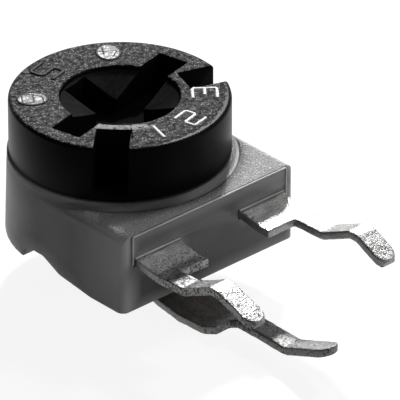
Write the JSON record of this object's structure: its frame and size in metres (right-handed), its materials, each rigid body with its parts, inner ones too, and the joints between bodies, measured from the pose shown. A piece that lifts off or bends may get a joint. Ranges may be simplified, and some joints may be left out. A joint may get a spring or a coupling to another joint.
{
  "type": "trimmer potentiometer",
  "caption": "Single-turn carbon trimmer potentiometer, mounted on edge: knob-like cross-slot rotor on a D-shaped housing, with three flat solder legs.",
  "frame": {"origin": "On the rotor axis, at the rotor's top face, which is the mouth of the driver recess.", "axes": "+Z is the rotor axis, pointing out of the driver recess. The three terminals leave along -Y, and the row of end legs runs along X."},
  "size_m": [0.0066, 0.0122, 0.0057],
  "materials": {
    "housing_plastic": "moulded, satin, slightly milky grey",
    "rotor_plastic": "black, satin sides, dusty matte top",
    "carrier_plastic": "moulded, natural",
    "spring_bronze": "rolled spring strip",
    "laminate_board": "paper laminate, matte",
    "carbon_print": "screen-printed carbon, smooth",
    "silver_print": "screen-printed silver, matte",
    "tinned_sheet": "hot-tinned, softly uneven",
    "eyelet_metal": "nickel-plated, turned over"
  },
  "bodies": {
    "base": {"housing": "housing_plastic", "laminate": "laminate_board", "carbon_track": "carbon_print", "near_electrode": "silver_print", "far_electrode": "silver_print", "near_terminal": "tinned_sheet", "far_terminal": "tinned_sheet", "near_eyelet": "eyelet_metal", "far_eyelet": "eyelet_metal", "base_plate": "laminate_board", "wiper_terminal": "tinned_sheet"},
    "rotor_group": {"rotor": "rotor_plastic", "contact_carrier": "carrier_plastic", "contact_spring": "spring_bronze"}
  },
  "joints": [
    {"name": "rotor_turn", "type": "hinge", "parent": "base", "child": "rotor_group", "pos_m": [0, 0, 0], "axis": [0, 0, 1], "range_deg": [-130, 105]}
  ]
}
